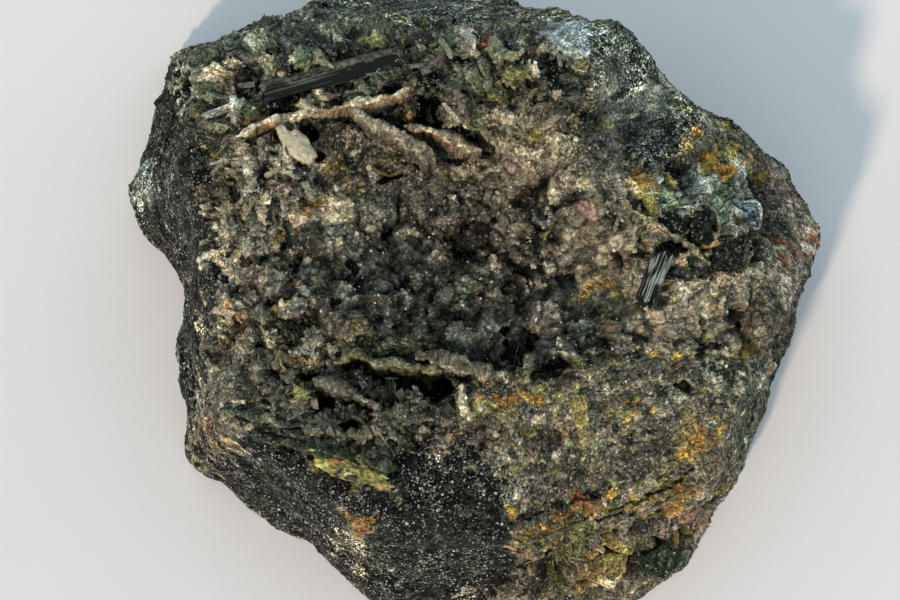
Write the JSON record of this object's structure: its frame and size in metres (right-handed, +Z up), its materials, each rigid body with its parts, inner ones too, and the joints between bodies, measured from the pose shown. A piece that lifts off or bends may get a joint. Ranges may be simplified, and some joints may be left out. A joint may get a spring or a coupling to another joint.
{
  "type": "hedenbergite mineral specimen",
  "caption": "Rough dark rock specimen with an open crystal-lined hollow on top, striated prisms, thin blades and yellow stains, flat underneath.",
  "frame": {"origin": "middle of the bounding box, on the flat base it rests on", "axes": "+Z up out of the crystal-lined face, +X along the longest side, +Y to the far side of the face"},
  "size_m": [0.0972, 0.0948, 0.0477],
  "materials": {
    "granular_rock": "rough granular fracture, green-black with pale grains that glint",
    "black_green_crystal": "vitreous, striated along its length",
    "blue_grey_crystal": "vitreous, striated",
    "yellow_green_crystal": "translucent looking, stained yellow",
    "tan_crusted_plate": "fine sugary crust of tan quartz",
    "olive_blade": "satin blade with a pale broken edge",
    "white_quartz": "milky, uneven",
    "quartz_druse": "nodular, covered with tiny crystals"
  },
  "bodies": {
    "root": {"matrix": "granular_rock", "long_striated_prism": "black_green_crystal", "stub_striated_prism": "black_green_crystal", "large_dark_crystal": "black_green_crystal", "middle_dark_crystal": "black_green_crystal", "small_dark_crystal": "black_green_crystal", "inset_green_lath": "black_green_crystal", "front_green_crystal": "black_green_crystal", "blue_grey_crystal": "blue_grey_crystal", "knob_green_lath": "yellow_green_crystal", "right_yellow_lath": "yellow_green_crystal", "front_yellow_crystal": "yellow_green_crystal", "yellow_green_blade": "yellow_green_crystal", "long_ridge_plate": "tan_crusted_plate", "tongue_plate": "tan_crusted_plate", "lower_diagonal_plate": "tan_crusted_plate", "crusted_pillar": "tan_crusted_plate", "tan_flake": "tan_crusted_plate", "lower_ridge_plate": "olive_blade", "green_blade_upper": "olive_blade", "green_blade_lower": "olive_blade", "white_lath": "white_quartz", "knob_nodule": "quartz_druse"}
  },
  "joints": []
}
